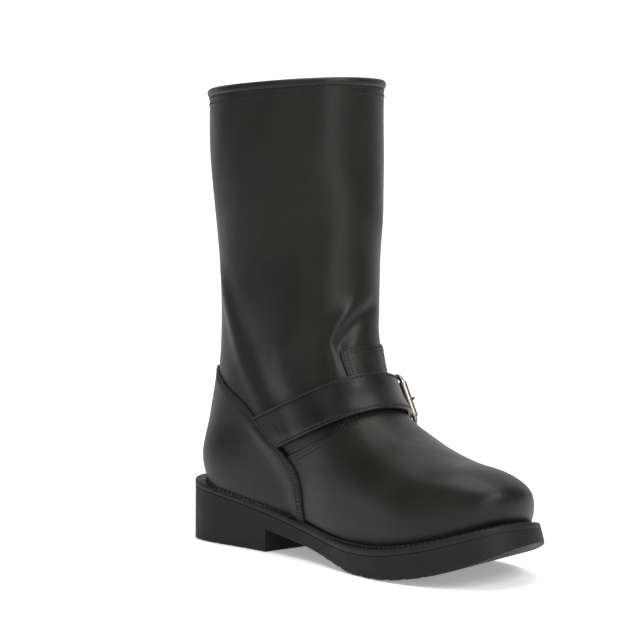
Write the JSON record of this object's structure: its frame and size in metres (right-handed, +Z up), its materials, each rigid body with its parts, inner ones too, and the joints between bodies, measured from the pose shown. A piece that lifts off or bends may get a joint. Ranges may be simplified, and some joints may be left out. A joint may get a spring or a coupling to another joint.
{
  "type": "engineer boot",
  "caption": "Black leather pull-on work boot with tall plain shaft, heel counter, buckled instep strap, rolled collar and lugged rubber sole with block heel.",
  "frame": {"origin": "bottom centre of the bounding box, on the floor that the sole stands on", "axes": "+X towards the toe, +Y towards the outer side of the left foot, +Z up the shaft"},
  "size_m": [0.301, 0.1136, 0.3172],
  "materials": {
    "boot_leather": "matt oiled black leather, fine grain, soft sheen",
    "strap_leather": "black leather strap, a little glossier than the upper",
    "sole_rubber": "matt black rubber",
    "insole_leather": "undyed insole leather",
    "buckle_steel": "nickel plated steel roller buckle"
  },
  "bodies": {
    "root": {"outsole": "sole_rubber", "welt": "sole_rubber", "insole": "insole_leather", "upper": "boot_leather", "heel_counter": "boot_leather", "backstay": "boot_leather", "collar_binding": "boot_leather", "instep_strap": "strap_leather", "buckle_chape": "strap_leather", "strap_keeper": "strap_leather", "buckle_frame": "buckle_steel", "buckle_roller": "buckle_steel", "buckle_prong": "buckle_steel"}
  },
  "joints": []
}
